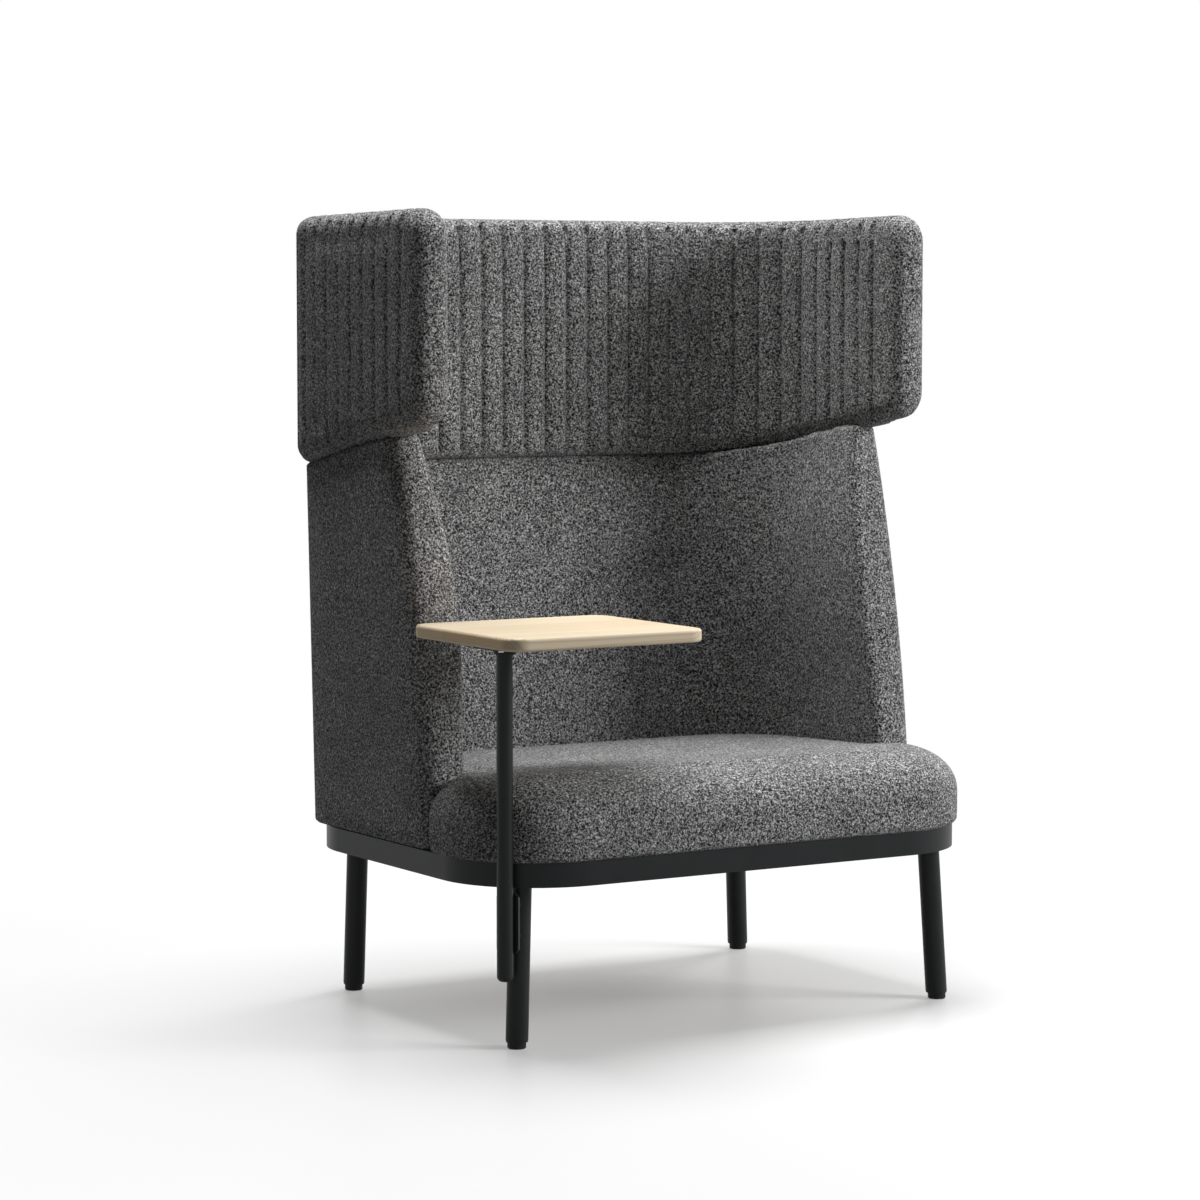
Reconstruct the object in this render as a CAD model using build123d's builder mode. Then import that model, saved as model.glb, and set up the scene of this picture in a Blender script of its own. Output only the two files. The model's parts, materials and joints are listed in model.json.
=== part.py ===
from build123d import *
import os
from math import cos, pi, radians, sin

# High-back single-seat sofa with a swivelling side table, in millimetres.
# The origin is on the floor under the middle of the object, the front faces -Y and +Z is up.

os.makedirs("parts", exist_ok=True)

# Driving dimensions: fits
soft_gap = 0.3
loose_fit = 0.2
bush_fit = 0.05
cut_margin = 20.0

# Driving dimensions: base band, a loop of rectangular tube
band_half_width = 465.0
band_front = -322.0
band_rear = 359.0
band_corner = 165.0
band_underside = 250.0
band_height = 38.0
band_depth = 15.0
band_wall = 2.0
drain_diameter = 8.0

# Driving dimensions: cross rails, corner plates and seat deck inside the band
rail_width = 40.0
rail_height = 20.0
rail_wall = 2.0
rail_front_y = -120.0
rail_rear_y = 140.0
corner_plate_thickness = 6.0
corner_plate_cover = 52.0
deck_thickness = 18.0
deck_gap = 0.5
deck_bolt_hole = 25.5
deck_screw_diameter = 5.0
deck_screw_head = 10.0
deck_screw_head_height = 2.5
deck_screw_bite = 12.0
deck_screw_spacing = 520.0

# Driving dimensions: legs and glides
leg_diameter = 35.0
leg_wall = 2.0
leg_plug = 22.0
leg_inset = 36.0
front_leg_bearing = -48.8
rear_leg_bearing = 55.6
front_leg_splay = (12.5, -9.3)
rear_leg_splay = (8.6, 1.0)
leg_bolt_diameter = 10.0
leg_bolt_bite = 18.0
leg_bolt_head = 17.0
leg_bolt_head_height = 6.4
glide_diameter = 29.0
glide_flange_diameter = 34.0
glide_flange = 3.0
glide_height = 13.0
glide_chamfer = 1.5
glide_plug_length = 22.0

# Driving dimensions: body pad, the U of back and arms, over the band
body_overhang = 2.0
body_overhang_rear = 13.0
body_flare = 2.0
body_rear_lean = 12.0
body_corner = 135.0
body_corner_top = 120.0
arm_thickness_foot = 76.0
arm_thickness_bulge = 87.0
arm_thickness_above = 84.0
arm_thickness_tuck = 66.0
arm_thickness_top = 54.0
back_thickness_foot = 99.0
back_thickness_top = 87.0
body_inner_corner = 170.0
body_bulge_height = 590.0
body_above_height = 740.0
body_tuck_height = 870.0
body_top_height = 945.0
arm_front_foot = -112.0
arm_front_middle = -76.0
arm_front_top = 2.0
arm_middle_height = 595.0
outer_edge_share = 0.6
inner_edge_share = 0.33

# Driving dimensions: head wrap over the body, and the seam under it
head_overhang = 17.0
head_overhang_rear = 27.0
head_corner = 141.0
wing_thickness = 65.0
head_back_thickness = 117.0
head_inner_corner = 150.0
head_top = 1280.0
head_top_drop = 8.0
head_edge_share = 0.43
wing_front = -113.0
wing_foot = 949.0
wing_corner = 45.0
seam_rear_height = 875.0
seam_bend_rear_y = 290.0
seam_bend_front_y = 125.0
seam_bend_front_height = 911.0
seam_bend_radius = 120.0
channel_pitch = 41.0
channel_width = 9.0
channel_depth = 5.0
channel_margin = 18.0

# Driving dimensions: bent-plywood boards inside the pads
board_thickness = 18.0
board_set_in = 0.5
board_corner = 150.0
board_setback = 34.0
board_top_cover = 40.0
board_screw_diameter = 7.0
board_screw_head = 10.0
board_screw_head_height = 4.0
board_screw_bite = 42.0
board_screw_front_y = -30.0
board_screw_back_y = 70.0
board_screw_rear_pitch = 80.0
dowel_diameter = 10.0
dowel_length = 60.0

# Driving dimensions: seat cushion
cushion_overhang = 8.0
cushion_gap = 0.5
cushion_foot_roll = 7.0
cushion_foot_height = 16.0
cushion_wall_height = 52.0
cushion_crown_height = 70.0
cushion_front_roll = 90.0
cushion_rear_roll = 30.0
cushion_ear_edge = 18.0
cushion_tilt = 2.2
cushion_core_inset = 45.0
cushion_core_height = 55.0

# Driving dimensions: table post, its bracket and the swivel
post_diameter = 25.0
post_wall = 2.0
post_gap = 11.0
post_bottom = 110.0
post_top = 608.0
post_dome = 9.0
post_cap_plug = 18.0
bracket_width = 36.0
bracket_height = 92.0
bracket_thickness = 6.0
bracket_saddle = 3.0
bracket_chamfer = 6.0
bracket_middle = 198.0
bracket_boss = 18.0
bracket_screw_spacing = 48.0
bracket_screw_diameter = 8.0
bracket_screw_bite = 10.0
bracket_screw_head = 14.0
bracket_screw_head_height = 4.4
spindle_diameter = 14.0
spindle_length = 122.0
collar_diameter = 33.0
collar_height = 4.0
bush_flange = 3.0
bush_length = 24.0
washer_thickness = 1.5

# Driving dimensions: table top and its mounting plate
table_width = 348.0
table_depth = 317.0
table_thickness = 20.0
table_corner = 32.0
table_edge = 5.0
table_left_of_post = 50.7
table_front_of_post = 108.7
plate_length = 150.0
plate_width = 84.0
plate_thickness = 4.0
plate_corner = 12.0
plate_lead = 36.0
plate_screw_inset = 14.0
plate_screw_diameter = 4.5
plate_screw_bite = 15.0
plate_screw_head = 8.5
plate_screw_head_height = 2.5

# Levels and outlines that follow from the driving dimensions
band_top = band_underside + band_height
band_middle_y = (band_front + band_rear) / 2
band_length_y = band_rear - band_front
band_inner_half = band_half_width - band_depth
deck_underside = band_top - deck_thickness
corner_plate_underside = deck_underside - corner_plate_thickness
rail_underside = deck_underside - rail_height
pad_underside = band_top + soft_gap
board_half_width = band_inner_half - deck_gap - board_set_in
board_rear = band_rear - band_depth - deck_gap - board_set_in
body_half_width = band_half_width + body_overhang
body_rear = band_rear + body_overhang_rear
body_inner_half = body_half_width - arm_thickness_foot
body_inner_back = body_rear - back_thickness_foot
arm_edge_outer = arm_thickness_top * outer_edge_share
arm_edge_inner = arm_thickness_top * inner_edge_share
head_half_width = body_half_width + head_overhang
head_rear = body_rear + head_overhang_rear
head_inner_half = head_half_width - wing_thickness
head_inner_back = head_rear - head_back_thickness
head_edge = wing_thickness * head_edge_share
cushion_front = band_front - cushion_overhang
cushion_front_half = band_half_width + cushion_overhang
cushion_front_corner = band_corner + cushion_overhang
cushion_ear_rear = arm_front_foot - cushion_gap
cushion_rear_half = body_inner_half - cushion_gap
cushion_rear = body_inner_back - cushion_gap
cushion_height = cushion_wall_height + cushion_crown_height
cushion_top = pad_underside + cushion_height
leg_bore = leg_diameter - 2 * leg_wall
post_bore = post_diameter - 2 * post_wall
collar_underside = post_top + bush_flange + washer_thickness
plate_underside = collar_underside + collar_height
table_underside = plate_underside + plate_thickness

# The post stands outside the front-left corner of the band, on its diagonal
post_reach = (band_corner + post_gap + post_diameter / 2) * cos(radians(45))
post_x = -(band_half_width - band_corner) - post_reach
post_y = band_front + band_corner - post_reach
table_middle = (
    post_x - table_left_of_post + table_width / 2,
    post_y - table_front_of_post + table_depth / 2,
)

sides = {"left": -1, "right": 1}
leg_rows = {
    "front": (band_front + band_corner, front_leg_bearing, front_leg_splay),
    "rear": (band_rear - band_corner, rear_leg_bearing, rear_leg_splay),
}


def leg_point(row, side, height):
    """Point on a leg's axis at a height; side is -1 for left and 1 for right."""
    corner_y, bearing, splay = leg_rows[row]
    reach = band_corner - leg_inset
    share = 1 - height / band_underside
    x = band_half_width - band_corner + reach * cos(radians(bearing)) + splay[0] * share
    y = corner_y + reach * sin(radians(bearing)) + splay[1] * share
    return Vector(side * x, y, height)


def leg_plane(row, side):
    """Plane square to a leg's axis, at the floor."""
    foot = leg_point(row, side, 0)
    return Plane(origin=foot, z_dir=leg_point(row, side, band_underside) - foot)


def u_plan(height, outer, inner, front):
    """U-shaped wall on a level plane; outer and inner are (half_width, back, corner)."""
    outer_half, outer_back, outer_corner = outer
    inner_half, inner_back, inner_corner = inner
    with BuildSketch(Plane.XY.offset(height)) as plan:
        with BuildLine():
            FilletPolyline(
                (outer_half, front),
                (outer_half, outer_back),
                (-outer_half, outer_back),
                (-outer_half, front),
                (-inner_half, front),
                (-inner_half, inner_back),
                (inner_half, inner_back),
                (inner_half, front),
                radius=[0, outer_corner, outer_corner, 0, 0, inner_corner, inner_corner, 0],
                close=True,
            )
        make_face()
    return plan.sketch


def seam_height(y):
    """Height of the seam's straight runs at a place along the side."""
    if y > seam_bend_rear_y:
        return seam_rear_height
    if y > seam_bend_front_y:
        rise = seam_bend_front_height - seam_rear_height
        return seam_rear_height + rise * (seam_bend_rear_y - y) / (seam_bend_rear_y - seam_bend_front_y)
    rise = wing_foot - seam_bend_front_height
    return seam_bend_front_height + rise * (seam_bend_front_y - y) / (seam_bend_front_y - wing_front)


def above_seam(front, corner, top, lift):
    """Side profile above the seam, from the wing's front edge to behind the back."""
    behind = head_rear + cut_margin
    with BuildSketch(Plane.YZ) as profile:
        with BuildLine():
            path = FilletPolyline(
                (behind, seam_rear_height + lift),
                (seam_bend_rear_y, seam_rear_height + lift),
                (seam_bend_front_y, seam_bend_front_height + lift),
                (front, seam_height(front) + lift),
                (front, top),
                (behind, top - head_top_drop),
                radius=[seam_bend_radius, seam_bend_radius, corner, corner],
            )
            Line(path @ 1, path @ 0)
        make_face()
    return profile.sketch


def below_seam(setback, drop, foot):
    """Side profile below the seam, from the arm's leaning front edge to behind the back."""
    behind = head_rear + cut_margin
    top_y = arm_front_top + setback
    with BuildSketch(Plane.YZ) as profile:
        with BuildLine():
            front = ThreePointArc(
                (arm_front_foot + setback, foot),
                (arm_front_middle + setback, arm_middle_height),
                (top_y, seam_height(top_y) - drop),
            )
            top = FilletPolyline(
                front @ 1,
                (seam_bend_front_y, seam_bend_front_height - drop),
                (seam_bend_rear_y, seam_rear_height - drop),
                (behind, seam_rear_height - drop),
                radius=seam_bend_radius,
            )
            Polyline(top @ 1, (behind, foot), front @ 0)
        make_face()
    return profile.sketch


def u_block_plan(half, front, back, corner):
    """Solid U outline at the pads' underside, square at one end and rounded at the other."""
    with BuildSketch(Plane.XY.offset(pad_underside)) as plan:
        with BuildLine():
            FilletPolyline(
                (half, front),
                (half, back),
                (-half, back),
                (-half, front),
                radius=[0, corner, corner, 0],
                close=True,
            )
        make_face()
    return plan.sketch


def core_plan(height, inset):
    """Rounded outline of the foam core, set in from the cushion's sides."""
    with BuildSketch(Plane.XY.offset(height)) as plan:
        with Locations((0, (cushion_front + cushion_rear) / 2)):
            RectangleRounded(
                2 * (cushion_rear_half - inset),
                cushion_rear - cushion_front - 2 * inset,
                body_inner_corner - inset,
            )
    return plan.sketch


def along_u(half, back, corner, distance):
    """Place on a U at a distance from the middle of its back: x, y and the bearing of its outside."""
    straight = half - corner
    arc = corner * pi / 2
    if distance < straight:
        return distance, back, 90.0
    if distance < straight + arc:
        bearing = pi / 2 - (distance - straight) / corner
        x = straight + corner * cos(bearing)
        y = back - corner + corner * sin(bearing)
        return x, y, bearing * 180 / pi
    return half, back - corner - (distance - straight - arc), 0.0


def u_stations(half, back, corner, pitch, front):
    """Evenly pitched places round a U, the same on both sides, from its back to its front."""
    length = half - corner + corner * pi / 2 + back - corner - front
    places = []
    for step in range(int(length / pitch)):
        x, y, bearing = along_u(half, back, corner, (step + 0.5) * pitch)
        places.append(Location((x, y, 0), (0, 0, bearing)))
        places.append(Location((-x, y, 0), (0, 0, 180 - bearing)))
    return places


def finish(name, builder):
    """Name a finished piece and write it."""
    builder.part.label = name
    export_step(builder.part, "parts/" + name + ".step")


# Base band: a hollow tube in a loop, with drain holes in its underside
with BuildPart() as band_loop:
    with BuildSketch(Plane.XY.offset(band_underside)):
        with Locations((0, band_middle_y)):
            RectangleRounded(2 * band_half_width, band_length_y, band_corner)
            RectangleRounded(
                2 * band_inner_half,
                band_length_y - 2 * band_depth,
                band_corner - band_depth,
                mode=Mode.SUBTRACT,
            )
    extrude(amount=band_height)
    with BuildSketch(Plane.XY.offset(band_underside + band_wall)):
        with Locations((0, band_middle_y)):
            RectangleRounded(
                2 * (band_half_width - band_wall),
                band_length_y - 2 * band_wall,
                band_corner - band_wall,
            )
            RectangleRounded(
                2 * (band_inner_half + band_wall),
                band_length_y - 2 * (band_depth - band_wall),
                band_corner - band_depth + band_wall,
                mode=Mode.SUBTRACT,
            )
    extrude(amount=band_height - 2 * band_wall, mode=Mode.SUBTRACT)
    with BuildSketch(Plane.XY.offset(band_underside)):
        with Locations(
            (0, band_front + band_depth / 2),
            (0, band_rear - band_depth / 2),
        ):
            Circle(drain_diameter / 2)
    extrude(amount=band_wall, mode=Mode.SUBTRACT)

# The loop's lengths: four straight tubes and four bends, butt-welded; each is (low, high) in x and y
straight_x = band_half_width - band_corner
straight_front = band_front + band_corner
straight_rear = band_rear - band_corner
band_lengths = {
    "front": ((-straight_x, band_front), (straight_x, straight_front)),
    "rear": ((-straight_x, straight_rear), (straight_x, band_rear)),
    "left": ((-band_half_width, straight_front), (-straight_x, straight_rear)),
    "right": ((straight_x, straight_front), (band_half_width, straight_rear)),
    "bend_front_left": ((-band_half_width, band_front), (-straight_x, straight_front)),
    "bend_front_right": ((straight_x, band_front), (band_half_width, straight_front)),
    "bend_rear_left": ((-band_half_width, straight_rear), (-straight_x, band_rear)),
    "bend_rear_right": ((straight_x, straight_rear), (band_half_width, band_rear)),
}
for place, ((low_x, low_y), (high_x, high_y)) in band_lengths.items():
    with BuildPart() as band_length:
        add(band_loop.part)
        with BuildSketch(Plane.XY.offset(band_underside)):
            with Locations(((low_x + high_x) / 2, (low_y + high_y) / 2)):
                Rectangle(high_x - low_x, high_y - low_y)
        extrude(amount=band_height, mode=Mode.INTERSECT)
    finish("band_" + place, band_length)

# Cross rails: flat rectangular tubes welded between the sides of the band
deck_screw_y = {"front": rail_front_y, "rear": rail_rear_y}
for row, rail_y in deck_screw_y.items():
    rail_plane = Plane.YZ.offset(-band_inner_half)
    with BuildPart() as cross_rail:
        with BuildSketch(rail_plane) as rail_section:
            with Locations((rail_y, rail_underside + rail_height / 2)):
                Rectangle(rail_width, rail_height)
                Rectangle(rail_width - 2 * rail_wall, rail_height - 2 * rail_wall, mode=Mode.SUBTRACT)
        extrude(amount=2 * band_inner_half)
        with BuildSketch(Plane.XY.offset(rail_underside)) as rail_holes:
            with Locations((0, rail_y)):
                with GridLocations(deck_screw_spacing, 0, 2, 1):
                    Circle(deck_screw_diameter / 2 + loose_fit)
        extrude(amount=rail_height, mode=Mode.SUBTRACT)
    finish("cross_rail_" + row, cross_rail)

# Corner plates: each fills a corner of the band up to a chord and takes one leg bolt
for row, (corner_y, bearing, splay) in leg_rows.items():
    for side, sign in sides.items():
        diagonal = 45 if row == "rear" else -45
        chord_angle = diagonal if sign > 0 else 180 - diagonal
        chord_x = sign * (band_half_width - band_corner)
        bolt = leg_point(row, sign, deck_underside)
        plate_reach = 2 * band_corner
        chord = band_corner - band_depth - corner_plate_cover
        with BuildPart() as corner_plate:
            with BuildSketch(Plane.XY.offset(corner_plate_underside)):
                with Locations((0, band_middle_y)):
                    RectangleRounded(
                        2 * band_inner_half,
                        band_length_y - 2 * band_depth,
                        band_corner - band_depth,
                    )
                with Locations(Location((chord_x, corner_y, 0), (0, 0, chord_angle))):
                    with Locations((chord + plate_reach / 2, 0)):
                        Rectangle(plate_reach, 2 * plate_reach, mode=Mode.INTERSECT)
                with Locations((bolt.X, bolt.Y)):
                    Circle(leg_bolt_diameter / 2 + loose_fit, mode=Mode.SUBTRACT)
            extrude(amount=corner_plate_thickness)
        finish("corner_plate_" + row + "_" + side, corner_plate)

# Bracket line: from the post towards the front-left leg, level, at the bracket's middle
bracket_leg = leg_point("front", sides["left"], bracket_middle)
bracket_run = Vector(bracket_leg.X - post_x, bracket_leg.Y - post_y, 0)
bracket_plane = Plane(
    origin=(post_x, post_y, bracket_middle),
    x_dir=(0, 0, 1),
    z_dir=bracket_run,
)

# Legs: splayed tubes, cut level at both ends, with a welded plug that takes the leg bolt
for row in leg_rows:
    for side, sign in sides.items():
        axis_plane = leg_plane(row, sign)
        bolt = leg_point(row, sign, deck_underside)
        with BuildPart() as leg:
            with BuildSketch(axis_plane):
                Circle(leg_diameter / 2)
            extrude(amount=band_top)
            with BuildSketch(axis_plane):
                Circle(leg_bore / 2)
            extrude(amount=corner_plate_underside - leg_plug, mode=Mode.SUBTRACT)
            split(bisect_by=Plane.XY.offset(glide_height), keep=Keep.TOP)
            split(bisect_by=Plane.XY.offset(corner_plate_underside), keep=Keep.BOTTOM)
            with BuildSketch(Plane.XY.offset(corner_plate_underside)):
                with Locations((bolt.X, bolt.Y)):
                    Circle(leg_bolt_diameter / 2 + loose_fit)
            extrude(amount=-(leg_bolt_bite + loose_fit), mode=Mode.SUBTRACT)
            if row == "front" and side == "left":
                with BuildSketch(bracket_plane):
                    with GridLocations(bracket_screw_spacing, 0, 2, 1):
                        Circle(bracket_screw_diameter / 2 + loose_fit)
                extrude(amount=bracket_run.length + leg_diameter, mode=Mode.SUBTRACT)
        finish("leg_" + row + "_" + side, leg)

# Leg bolts: hexagon heads on the corner plates, one into each leg
with BuildPart() as leg_bolts:
    for row in leg_rows:
        for sign in sides.values():
            bolt = leg_point(row, sign, deck_underside)
            with BuildSketch(Plane.XY.offset(deck_underside)):
                with Locations((bolt.X, bolt.Y)):
                    RegularPolygon(leg_bolt_head / 2, 6, major_radius=False)
            extrude(amount=leg_bolt_head_height)
            with BuildSketch(Plane.XY.offset(deck_underside)):
                with Locations((bolt.X, bolt.Y)):
                    Circle(leg_bolt_diameter / 2)
            extrude(amount=-(corner_plate_thickness + leg_bolt_bite))
finish("leg_bolts", leg_bolts)

# Glides: a stepped, chamfered foot under each leg with a plug up its bore
for row in leg_rows:
    for side, sign in sides.items():
        foot = leg_point(row, sign, 0)
        glide_plane = leg_plane(row, sign)
        with BuildPart() as glide:
            with BuildSketch(glide_plane):
                Circle(leg_bore / 2 - loose_fit)
            extrude(amount=glide_height + glide_plug_length)
            split(bisect_by=Plane.XY.offset(glide_height), keep=Keep.TOP)
            neck = leg_point(row, sign, glide_height)
            with BuildSketch(Plane.XY.offset(glide_height)):
                with Locations((neck.X, neck.Y)):
                    Circle(glide_flange_diameter / 2)
            extrude(amount=-glide_flange)
            with BuildSketch(Plane.XY):
                with Locations((foot.X, foot.Y)):
                    Circle(glide_diameter / 2)
            extrude(amount=glide_height - glide_flange)
            chamfer(glide.edges().group_by(Axis.Z)[0], glide_chamfer)
        finish("glide_" + row + "_" + side, glide)

# Places of the screws that hold the body board to the deck, clear of the rails and plates
board_middle_half = board_half_width - board_thickness / 2
board_middle_rear = board_rear - board_thickness / 2
board_screw_places = [
    (sign * board_middle_half, y)
    for sign in sides.values()
    for y in (board_screw_front_y, board_screw_back_y)
]
board_screw_places += [(step * board_screw_rear_pitch, board_middle_rear) for step in (-1, 0, 1)]

# Seat deck: plywood inside the band, on the rails and corner plates
with BuildPart() as seat_board:
    with BuildSketch(Plane.XY.offset(deck_underside)):
        with Locations((0, band_middle_y)):
            RectangleRounded(
                2 * (band_inner_half - deck_gap),
                band_length_y - 2 * (band_depth + deck_gap),
                band_corner - band_depth - deck_gap,
            )
        for row in leg_rows:
            for sign in sides.values():
                bolt = leg_point(row, sign, deck_underside)
                with Locations((bolt.X, bolt.Y)):
                    Circle(deck_bolt_hole / 2, mode=Mode.SUBTRACT)
        with Locations(*board_screw_places):
            Circle(board_screw_diameter / 2 + loose_fit, mode=Mode.SUBTRACT)
    extrude(amount=deck_thickness)
    with BuildSketch(Plane.XY.offset(deck_underside)):
        with Locations(*board_screw_places):
            Circle(board_screw_head / 2 + loose_fit)
    extrude(amount=board_screw_head_height, mode=Mode.SUBTRACT)
    with BuildSketch(Plane.XY.offset(deck_underside)):
        for rail_y in deck_screw_y.values():
            with Locations((0, rail_y)):
                with GridLocations(deck_screw_spacing, 0, 2, 1):
                    Circle(deck_screw_diameter / 2 + loose_fit)
    extrude(amount=deck_screw_bite, mode=Mode.SUBTRACT)
finish("seat_board", seat_board)

# Deck screws: from under the rails up into the deck
with BuildPart() as seat_board_screws:
    for rail_y in deck_screw_y.values():
        with BuildSketch(Plane.XY.offset(rail_underside)):
            with Locations((0, rail_y)):
                with GridLocations(deck_screw_spacing, 0, 2, 1):
                    Circle(deck_screw_head / 2)
        extrude(amount=-deck_screw_head_height)
        with BuildSketch(Plane.XY.offset(rail_underside)):
            with Locations((0, rail_y)):
                with GridLocations(deck_screw_spacing, 0, 2, 1):
                    Circle(deck_screw_diameter / 2)
        extrude(amount=rail_height + deck_screw_bite)
finish("seat_board_screws", seat_board_screws)

# Board outlines, shared by the body board, the head board and the slots that hold them
board_outer = (board_half_width, board_rear, board_corner)
board_inner = (
    board_half_width - board_thickness,
    board_rear - board_thickness,
    board_corner - board_thickness,
)
slot_outer = tuple(value + soft_gap for value in board_outer)
slot_inner = tuple(value - soft_gap for value in board_inner)
wall_front = wing_front - cut_margin
dowel_places = [
    (sign * board_middle_half, y) for sign in sides.values() for y in (board_setback * 2, board_setback * 4)
]
dowel_places += [(x, board_middle_rear) for x in (-board_corner, 0, board_corner)]


def bent_board(side, outer, inner):
    """Solid of a bent board: a side profile cut to a U-shaped plan."""
    with BuildPart() as board:
        extrude(side, amount=board_half_width + cut_margin, both=True)
        plan = u_plan(band_top, outer, inner, wall_front)
        extrude(plan, amount=head_top - band_top, mode=Mode.INTERSECT)
    return board.part


def dowel_rods(diameter):
    """Upright rods across the seam, one at each dowel."""
    with BuildPart() as rods:
        for x, y in dowel_places:
            with BuildSketch(Plane.XY.offset(seam_height(y) - dowel_length / 2)):
                with Locations((x, y)):
                    Circle(diameter / 2)
            extrude(amount=dowel_length)
    return rods.part


def channel_wedges(half, back, corner, inward):
    """Plan of the sewn channels on one face of the head wrap; inward is 1 on the seat side, else -1."""
    spread = channel_width / 2 * (1 + channel_margin / channel_depth)
    with BuildSketch(Plane.XY.offset(seam_rear_height - cut_margin)) as wedges:
        with Locations(*u_stations(half, back, corner, channel_pitch, wing_front + head_edge)):
            Polygon(
                (-inward * channel_margin, -spread),
                (-inward * channel_margin, spread),
                (inward * channel_depth, 0),
            )
    return wedges.sketch


# Body board: a bent-plywood U that stands on the deck, leaning at the front and cut along the seam
with BuildPart() as back_board:
    add(bent_board(below_seam(board_setback, 0, band_top), board_outer, board_inner))
    with BuildSketch(Plane.XY.offset(band_top)):
        with Locations(*board_screw_places):
            Circle(board_screw_diameter / 2 + loose_fit)
    extrude(amount=board_screw_bite, mode=Mode.SUBTRACT)
    add(dowel_rods(dowel_diameter + loose_fit), mode=Mode.SUBTRACT)
finish("back_board", back_board)

# Body board screws: from under the deck into the board's lower edge
with BuildPart() as back_screws:
    with BuildSketch(Plane.XY.offset(deck_underside)):
        with Locations(*board_screw_places):
            Circle(board_screw_head / 2)
    extrude(amount=board_screw_head_height)
    with BuildSketch(Plane.XY.offset(deck_underside)):
        with Locations(*board_screw_places):
            Circle(board_screw_diameter / 2)
    extrude(amount=deck_thickness + board_screw_bite)
finish("back_screws", back_screws)

# Head board: the same U above the seam, set back inside the wings
with BuildPart() as head_board:
    head_board_side = above_seam(
        wing_front + board_top_cover,
        wing_corner,
        head_top - board_top_cover,
        0,
    )
    add(bent_board(head_board_side, board_outer, board_inner))
    add(dowel_rods(dowel_diameter + loose_fit), mode=Mode.SUBTRACT)
finish("head_board", head_board)

# Dowels: across the seam, half in each board
with BuildPart() as head_dowels:
    add(dowel_rods(dowel_diameter))
finish("head_dowels", head_dowels)

# Body pad: a U whose arms bulge above the seat and tuck in under the head wrap
body_levels = (
    (pad_underside, arm_thickness_foot),
    (cushion_top, arm_thickness_foot),
    (body_bulge_height, arm_thickness_bulge),
    (body_above_height, arm_thickness_above),
    (body_tuck_height, arm_thickness_tuck),
    (body_top_height, arm_thickness_top),
)


def body_section(height, arm_thickness):
    """Plan of the body pad at a height; its back leans out and its sides flare a little."""
    share = (height - pad_underside) / (body_top_height - pad_underside)
    half = body_half_width + body_flare * share
    rear = body_rear + body_rear_lean * share
    corner = body_corner + (body_corner_top - body_corner) * share
    back_thickness = back_thickness_foot + (back_thickness_top - back_thickness_foot) * share
    inner = (half - arm_thickness, rear - back_thickness, body_inner_corner)
    return u_plan(height, (half, rear, corner), inner, wall_front)


with BuildPart() as back_pad:
    loft([body_section(*level) for level in body_levels])
    body_side = below_seam(0, soft_gap, pad_underside)
    extrude(body_side, amount=head_half_width + cut_margin, both=True, mode=Mode.INTERSECT)
    for rim, edge_radius in ((1, arm_edge_outer), (0, arm_edge_inner)):
        arm_fronts = back_pad.faces().filter_by(GeomType.CYLINDER).group_by(Axis.Y)[0]
        arm_rims = [
            arm.edges().sort_by(SortBy.LENGTH)[-2:].sort_by(lambda edge: abs(edge.center().X))[rim]
            for arm in arm_fronts
        ]
        fillet(arm_rims, edge_radius)
    add(
        bent_board(
            below_seam(board_setback - soft_gap, -soft_gap, band_top),
            slot_outer,
            slot_inner,
        ),
        mode=Mode.SUBTRACT,
    )
finish("back_pad", back_pad)

# Head wrap: a thick U with rounded wings, its edges rolled, grooved by sewn channels
head_outer = (head_half_width, head_rear, head_corner)
head_inner = (head_inner_half, head_inner_back, head_inner_corner)
with BuildPart() as head_pad:
    head_side = above_seam(wing_front, wing_corner, head_top, soft_gap)
    extrude(head_side, amount=head_half_width + cut_margin, both=True)
    head_plan = u_plan(band_top, head_outer, head_inner, wall_front)
    extrude(head_plan, amount=head_top - band_top + cut_margin, mode=Mode.INTERSECT)
    top_rims = head_pad.faces().sort_by(Axis.Z)[-1].edges().filter_by(Axis.X).sort_by(Axis.Y)
    fillet(top_rims[-2:], head_edge)
    add(
        bent_board(
            above_seam(
                wing_front + board_top_cover - soft_gap,
                wing_corner,
                head_top - board_top_cover + soft_gap,
                0,
            ),
            slot_outer,
            slot_inner,
        ),
        mode=Mode.SUBTRACT,
    )
    channel_length = head_top - seam_rear_height + 2 * cut_margin
    extrude(channel_wedges(*head_inner, 1), amount=channel_length, mode=Mode.SUBTRACT)
    extrude(channel_wedges(*head_outer, -1), amount=channel_length, mode=Mode.SUBTRACT)
finish("head_pad", head_pad)

# Seat cushion: its front edge is rolled over round the band, and the seat slopes back between the arms
roll_line = cushion_front + cushion_front_roll
seat_slope = Plane(
    origin=(0, roll_line, cushion_top),
    x_dir=(1, 0, 0),
    z_dir=(0, sin(radians(cushion_tilt)), cos(radians(cushion_tilt))),
)
roll_plane = Plane(
    origin=(cushion_front_half, cushion_ear_rear, pad_underside),
    x_dir=(1, 0, 0),
    z_dir=(0, -1, 0),
)


def seat_block():
    """Seat between the arms, sloping back, its upper edges rolled."""
    with BuildPart() as block:
        plan = u_block_plan(
            cushion_rear_half, cushion_ear_rear - cut_margin, cushion_rear, body_inner_corner
        )
        extrude(plan, amount=cushion_height)
        split(bisect_by=seat_slope, keep=Keep.BOTTOM)
        rim = block.faces().sort_by(Axis.Z)[-1].edges().sort_by(Axis.Y)[1:]
        fillet(rim, cushion_rear_roll)
    return block.part


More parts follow.
